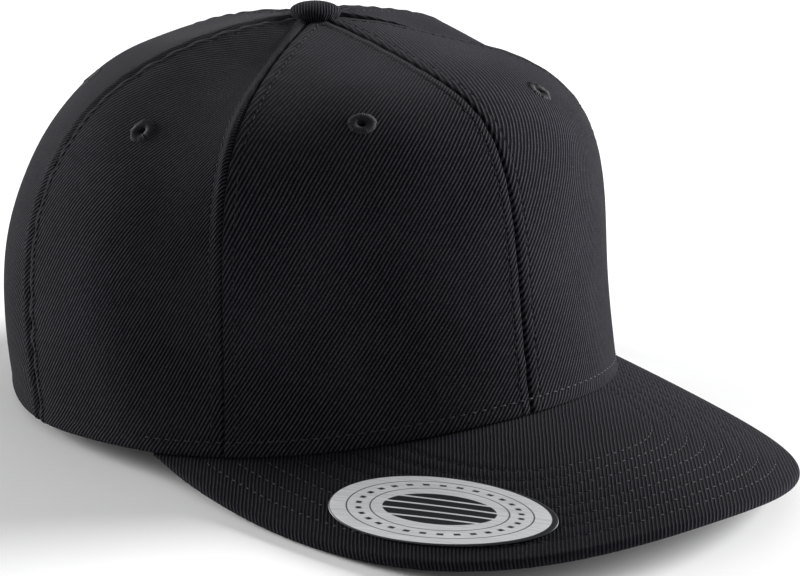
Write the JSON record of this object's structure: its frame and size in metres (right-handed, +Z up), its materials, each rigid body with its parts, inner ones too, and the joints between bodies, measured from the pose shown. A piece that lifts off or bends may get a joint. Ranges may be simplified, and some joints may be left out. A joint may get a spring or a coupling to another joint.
{
  "type": "snapback cap",
  "caption": "Panelled black cloth cap with a wide low-curved visor, covered button, stitched eyelets, sweatband and a snap strap across the arch at the back.",
  "frame": {"origin": "centre of the bounding box on the surface that the cap lies on", "axes": "+Z up from that surface, the visor points to -Y, the wearer's left is +X"},
  "size_m": [0.187, 0.27, 0.122],
  "materials": {
    "panel_cloth": "matt black twill with diagonal ribs",
    "visor_cloth": "matt black twill with ribs from front to back",
    "eyelet_thread": "black embroidery thread",
    "sweatband_cloth": "plain black band cloth",
    "strap_plastic": "satin black moulded plastic",
    "sticker_foil": "brushed silver foil"
  },
  "bodies": {
    "root": {"front_panel_left": "panel_cloth", "front_panel_right": "panel_cloth", "side_panel_left": "panel_cloth", "side_panel_right": "panel_cloth", "back_panel_left": "panel_cloth", "back_panel_right": "panel_cloth", "top_button": "panel_cloth", "eyelet_front_left": "eyelet_thread", "eyelet_front_right": "eyelet_thread", "eyelet_side_left": "eyelet_thread", "eyelet_side_right": "eyelet_thread", "eyelet_back_left": "eyelet_thread", "eyelet_back_right": "eyelet_thread", "visor": "visor_cloth", "visor_sticker": "sticker_foil", "sweatband": "sweatband_cloth", "snap_strap": "strap_plastic"}
  },
  "joints": []
}
